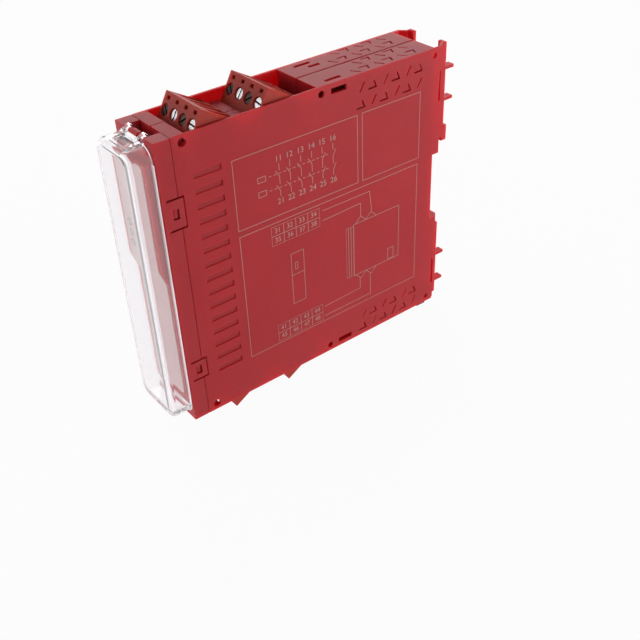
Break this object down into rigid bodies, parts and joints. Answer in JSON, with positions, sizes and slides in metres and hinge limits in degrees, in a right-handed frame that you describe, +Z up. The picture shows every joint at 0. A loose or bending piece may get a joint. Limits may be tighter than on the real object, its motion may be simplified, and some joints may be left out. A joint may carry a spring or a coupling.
{
  "type": "safety relay module",
  "caption": "Narrow red rail-mounted safety relay module with tilted plug-in screw terminals, hinged clear front cover, slotted vents and a sliding rail clip.",
  "frame": {"origin": "on the rail seat plane, at the middle of the rail's height and of the module's width", "axes": "+X across the module, +Y from the rail seat towards the rail's back (the front face looks to -Y), +Z up"},
  "size_m": [0.0226, 0.1288, 0.1134],
  "materials": {
    "housing_red": "fine moulded texture",
    "bezel_red": "fine moulded texture",
    "plug_red": "satin",
    "clear_polycarbonate": "clear gloss",
    "black_plastic": "satin",
    "plated_steel": "bright zinc",
    "cage_steel": "yellow zinc",
    "board_green": "solder mask",
    "relay_case": "satin",
    "coil_tape": "tape",
    "capacitor_sleeve": "shrink sleeve",
    "varistor_blue": "dipped coat",
    "led_lens": "moulded lens"
  },
  "bodies": {
    "housing": {"housing_left_half": "housing_red", "housing_right_half": "housing_red", "front_bezel": "bezel_red", "main_board": "board_green", "indicator_board": "board_green", "relay_1": "relay_case", "relay_2": "relay_case", "supply_transformer": "coil_tape", "capacitor_1": "capacitor_sleeve", "capacitor_2": "capacitor_sleeve", "varistor": "varistor_blue", "led_upper": "led_lens", "light_pipe_upper": "clear_polycarbonate", "led_middle": "led_lens", "light_pipe_middle": "clear_polycarbonate", "led_lower": "led_lens", "light_pipe_lower": "clear_polycarbonate", "header_top_front": "black_plastic", "header_top_rear": "black_plastic", "header_bottom_front": "black_plastic", "header_bottom_rear": "black_plastic"},
    "clip": {"rail_clip": "black_plastic"},
    "cover": {"clear_cover": "clear_polycarbonate"},
    "plug_top_front": {"plug_top_front": "plug_red"},
    "screw_top_front_1": {"screw_top_front_1": "plated_steel"},
    "cage_top_front_1": {"cage_top_front_1": "cage_steel"},
    "screw_top_front_2": {"screw_top_front_2": "plated_steel"},
    "cage_top_front_2": {"cage_top_front_2": "cage_steel"},
    "screw_top_front_3": {"screw_top_front_3": "plated_steel"},
    "cage_top_front_3": {"cage_top_front_3": "cage_steel"},
    "screw_top_front_4": {"screw_top_front_4": "plated_steel"},
    "cage_top_front_4": {"cage_top_front_4": "cage_steel"},
    "plug_top_rear": {"plug_top_rear": "plug_red"},
    "screw_top_rear_1": {"screw_top_rear_1": "plated_steel"},
    "cage_top_rear_1": {"cage_top_rear_1": "cage_steel"},
    "screw_top_rear_2": {"screw_top_rear_2": "plated_steel"},
    "cage_top_rear_2": {"cage_top_rear_2": "cage_steel"},
    "screw_top_rear_3": {"screw_top_rear_3": "plated_steel"},
    "cage_top_rear_3": {"cage_top_rear_3": "cage_steel"},
    "screw_top_rear_4": {"screw_top_rear_4": "plated_steel"},
    "cage_top_rear_4": {"cage_top_rear_4": "cage_steel"},
    "plug_bottom_front": {"plug_bottom_front": "plug_red"},
    "screw_bottom_front_1": {"screw_bottom_front_1": "plated_steel"},
    "cage_bottom_front_1": {"cage_bottom_front_1": "cage_steel"},
    "screw_bottom_front_2": {"screw_bottom_front_2": "plated_steel"},
    "cage_bottom_front_2": {"cage_bottom_front_2": "cage_steel"},
    "screw_bottom_front_3": {"screw_bottom_front_3": "plated_steel"},
    "cage_bottom_front_3": {"cage_bottom_front_3": "cage_steel"},
    "screw_bottom_front_4": {"screw_bottom_front_4": "plated_steel"},
    "cage_bottom_front_4": {"cage_bottom_front_4": "cage_steel"},
    "plug_bottom_rear": {"plug_bottom_rear": "plug_red"},
    "screw_bottom_rear_1": {"screw_bottom_rear_1": "plated_steel"},
    "cage_bottom_rear_1": {"cage_bottom_rear_1": "cage_steel"},
    "screw_bottom_rear_2": {"screw_bottom_rear_2": "plated_steel"},
    "cage_bottom_rear_2": {"cage_bottom_rear_2": "cage_steel"},
    "screw_bottom_rear_3": {"screw_bottom_rear_3": "plated_steel"},
    "cage_bottom_rear_3": {"cage_bottom_rear_3": "cage_steel"},
    "screw_bottom_rear_4": {"screw_bottom_rear_4": "plated_steel"},
    "cage_bottom_rear_4": {"cage_bottom_rear_4": "cage_steel"}
  },
  "joints": [
    {"name": "clip_slide", "type": "slide", "parent": "housing", "child": "clip", "axis": [0, 0, -1], "range_m": [0, 0.0045]},
    {"name": "cover_hinge", "type": "hinge", "parent": "housing", "child": "cover", "pos_m": [0, -0.1134, 0.05185], "axis": [-1, 0, 0], "range_deg": [0, 110]},
    {"name": "plug_top_front_pull", "type": "slide", "parent": "housing", "child": "plug_top_front", "axis": [0, 0.5, 0.866], "range_m": [0, 0.012]},
    {"name": "plug_top_rear_pull", "type": "slide", "parent": "housing", "child": "plug_top_rear", "axis": [0, 0.5, 0.866], "range_m": [0, 0.012]},
    {"name": "plug_bottom_front_pull", "type": "slide", "parent": "housing", "child": "plug_bottom_front", "axis": [0, 0.5, -0.866], "range_m": [0, 0.012]},
    {"name": "plug_bottom_rear_pull", "type": "slide", "parent": "housing", "child": "plug_bottom_rear", "axis": [0, 0.5, -0.866], "range_m": [0, 0.012]},
    {"name": "terminal_screw_top_front_1", "type": "hinge", "parent": "plug_top_front", "child": "screw_top_front_1", "pos_m": [-0.00746, -0.09965, 0.05294], "axis": [0, 0.866, -0.5], "range_deg": [0, 1800]},
    {"name": "terminal_screw_top_front_2", "type": "hinge", "parent": "plug_top_front", "child": "screw_top_front_2", "pos_m": [-0.00249, -0.09965, 0.05294], "axis": [0, 0.866, -0.5], "range_deg": [0, 1800]},
    {"name": "terminal_screw_top_front_3", "type": "hinge", "parent": "plug_top_front", "child": "screw_top_front_3", "pos_m": [0.00249, -0.09965, 0.05294], "axis": [0, 0.866, -0.5], "range_deg": [0, 1800]},
    {"name": "terminal_screw_top_front_4", "type": "hinge", "parent": "plug_top_front", "child": "screw_top_front_4", "pos_m": [0.00746, -0.09965, 0.05294], "axis": [0, 0.866, -0.5], "range_deg": [0, 1800]},
    {"name": "terminal_screw_top_rear_1", "type": "hinge", "parent": "plug_top_rear", "child": "screw_top_rear_1", "pos_m": [-0.00746, -0.07625, 0.05294], "axis": [0, 0.866, -0.5], "range_deg": [0, 1800]},
    {"name": "terminal_screw_top_rear_2", "type": "hinge", "parent": "plug_top_rear", "child": "screw_top_rear_2", "pos_m": [-0.00249, -0.07625, 0.05294], "axis": [0, 0.866, -0.5], "range_deg": [0, 1800]},
    {"name": "terminal_screw_top_rear_3", "type": "hinge", "parent": "plug_top_rear", "child": "screw_top_rear_3", "pos_m": [0.00249, -0.07625, 0.05294], "axis": [0, 0.866, -0.5], "range_deg": [0, 1800]},
    {"name": "terminal_screw_top_rear_4", "type": "hinge", "parent": "plug_top_rear", "child": "screw_top_rear_4", "pos_m": [0.00746, -0.07625, 0.05294], "axis": [0, 0.866, -0.5], "range_deg": [0, 1800]},
    {"name": "terminal_screw_bottom_front_1", "type": "hinge", "parent": "plug_bottom_front", "child": "screw_bottom_front_1", "pos_m": [0.00746, -0.09965, -0.05094], "axis": [0, 0.866, 0.5], "range_deg": [0, 1800]},
    {"name": "terminal_screw_bottom_front_2", "type": "hinge", "parent": "plug_bottom_front", "child": "screw_bottom_front_2", "pos_m": [0.00249, -0.09965, -0.05094], "axis": [0, 0.866, 0.5], "range_deg": [0, 1800]},
    {"name": "terminal_screw_bottom_front_3", "type": "hinge", "parent": "plug_bottom_front", "child": "screw_bottom_front_3", "pos_m": [-0.00249, -0.09965, -0.05094], "axis": [0, 0.866, 0.5], "range_deg": [0, 1800]},
    {"name": "terminal_screw_bottom_front_4", "type": "hinge", "parent": "plug_bottom_front", "child": "screw_bottom_front_4", "pos_m": [-0.00746, -0.09965, -0.05094], "axis": [0, 0.866, 0.5], "range_deg": [0, 1800]},
    {"name": "terminal_screw_bottom_rear_1", "type": "hinge", "parent": "plug_bottom_rear", "child": "screw_bottom_rear_1", "pos_m": [0.00746, -0.07625, -0.05094], "axis": [0, 0.866, 0.5], "range_deg": [0, 1800]},
    {"name": "terminal_screw_bottom_rear_2", "type": "hinge", "parent": "plug_bottom_rear", "child": "screw_bottom_rear_2", "pos_m": [0.00249, -0.07625, -0.05094], "axis": [0, 0.866, 0.5], "range_deg": [0, 1800]},
    {"name": "terminal_screw_bottom_rear_3", "type": "hinge", "parent": "plug_bottom_rear", "child": "screw_bottom_rear_3", "pos_m": [-0.00249, -0.07625, -0.05094], "axis": [0, 0.866, 0.5], "range_deg": [0, 1800]},
    {"name": "terminal_screw_bottom_rear_4", "type": "hinge", "parent": "plug_bottom_rear", "child": "screw_bottom_rear_4", "pos_m": [-0.00746, -0.07625, -0.05094], "axis": [0, 0.866, 0.5], "range_deg": [0, 1800]},
    {"name": "terminal_cage_top_front_1", "type": "slide", "parent": "plug_top_front", "child": "cage_top_front_1", "axis": [0, -0.866, 0.5], "range_m": [0, 0.0025]},
    {"name": "terminal_cage_top_front_2", "type": "slide", "parent": "plug_top_front", "child": "cage_top_front_2", "axis": [0, -0.866, 0.5], "range_m": [0, 0.0025]},
    {"name": "terminal_cage_top_front_3", "type": "slide", "parent": "plug_top_front", "child": "cage_top_front_3", "axis": [0, -0.866, 0.5], "range_m": [0, 0.0025]},
    {"name": "terminal_cage_top_front_4", "type": "slide", "parent": "plug_top_front", "child": "cage_top_front_4", "axis": [0, -0.866, 0.5], "range_m": [0, 0.0025]},
    {"name": "terminal_cage_top_rear_1", "type": "slide", "parent": "plug_top_rear", "child": "cage_top_rear_1", "axis": [0, -0.866, 0.5], "range_m": [0, 0.0025]},
    {"name": "terminal_cage_top_rear_2", "type": "slide", "parent": "plug_top_rear", "child": "cage_top_rear_2", "axis": [0, -0.866, 0.5], "range_m": [0, 0.0025]},
    {"name": "terminal_cage_top_rear_3", "type": "slide", "parent": "plug_top_rear", "child": "cage_top_rear_3", "axis": [0, -0.866, 0.5], "range_m": [0, 0.0025]},
    {"name": "terminal_cage_top_rear_4", "type": "slide", "parent": "plug_top_rear", "child": "cage_top_rear_4", "axis": [0, -0.866, 0.5], "range_m": [0, 0.0025]},
    {"name": "terminal_cage_bottom_front_1", "type": "slide", "parent": "plug_bottom_front", "child": "cage_bottom_front_1", "axis": [0, -0.866, -0.5], "range_m": [0, 0.0025]},
    {"name": "terminal_cage_bottom_front_2", "type": "slide", "parent": "plug_bottom_front", "child": "cage_bottom_front_2", "axis": [0, -0.866, -0.5], "range_m": [0, 0.0025]},
    {"name": "terminal_cage_bottom_front_3", "type": "slide", "parent": "plug_bottom_front", "child": "cage_bottom_front_3", "axis": [0, -0.866, -0.5], "range_m": [0, 0.0025]},
    {"name": "terminal_cage_bottom_front_4", "type": "slide", "parent": "plug_bottom_front", "child": "cage_bottom_front_4", "axis": [0, -0.866, -0.5], "range_m": [0, 0.0025]},
    {"name": "terminal_cage_bottom_rear_1", "type": "slide", "parent": "plug_bottom_rear", "child": "cage_bottom_rear_1", "axis": [0, -0.866, -0.5], "range_m": [0, 0.0025]},
    {"name": "terminal_cage_bottom_rear_2", "type": "slide", "parent": "plug_bottom_rear", "child": "cage_bottom_rear_2", "axis": [0, -0.866, -0.5], "range_m": [0, 0.0025]},
    {"name": "terminal_cage_bottom_rear_3", "type": "slide", "parent": "plug_bottom_rear", "child": "cage_bottom_rear_3", "axis": [0, -0.866, -0.5], "range_m": [0, 0.0025]},
    {"name": "terminal_cage_bottom_rear_4", "type": "slide", "parent": "plug_bottom_rear", "child": "cage_bottom_rear_4", "axis": [0, -0.866, -0.5], "range_m": [0, 0.0025]}
  ],
  "couplings": [
    {"joint": "terminal_screw_top_front_1", "follows": "terminal_cage_top_front_1", "rad_per_m": 12566},
    {"joint": "terminal_screw_top_front_2", "follows": "terminal_cage_top_front_2", "rad_per_m": 12566},
    {"joint": "terminal_screw_top_front_3", "follows": "terminal_cage_top_front_3", "rad_per_m": 12566},
    {"joint": "terminal_screw_top_front_4", "follows": "terminal_cage_top_front_4", "rad_per_m": 12566},
    {"joint": "terminal_screw_top_rear_1", "follows": "terminal_cage_top_rear_1", "rad_per_m": 12566},
    {"joint": "terminal_screw_top_rear_2", "follows": "terminal_cage_top_rear_2", "rad_per_m": 12566},
    {"joint": "terminal_screw_top_rear_3", "follows": "terminal_cage_top_rear_3", "rad_per_m": 12566},
    {"joint": "terminal_screw_top_rear_4", "follows": "terminal_cage_top_rear_4", "rad_per_m": 12566},
    {"joint": "terminal_screw_bottom_front_1", "follows": "terminal_cage_bottom_front_1", "rad_per_m": 12566},
    {"joint": "terminal_screw_bottom_front_2", "follows": "terminal_cage_bottom_front_2", "rad_per_m": 12566},
    {"joint": "terminal_screw_bottom_front_3", "follows": "terminal_cage_bottom_front_3", "rad_per_m": 12566},
    {"joint": "terminal_screw_bottom_front_4", "follows": "terminal_cage_bottom_front_4", "rad_per_m": 12566},
    {"joint": "terminal_screw_bottom_rear_1", "follows": "terminal_cage_bottom_rear_1", "rad_per_m": 12566},
    {"joint": "terminal_screw_bottom_rear_2", "follows": "terminal_cage_bottom_rear_2", "rad_per_m": 12566},
    {"joint": "terminal_screw_bottom_rear_3", "follows": "terminal_cage_bottom_rear_3", "rad_per_m": 12566},
    {"joint": "terminal_screw_bottom_rear_4", "follows": "terminal_cage_bottom_rear_4", "rad_per_m": 12566}
  ]
}
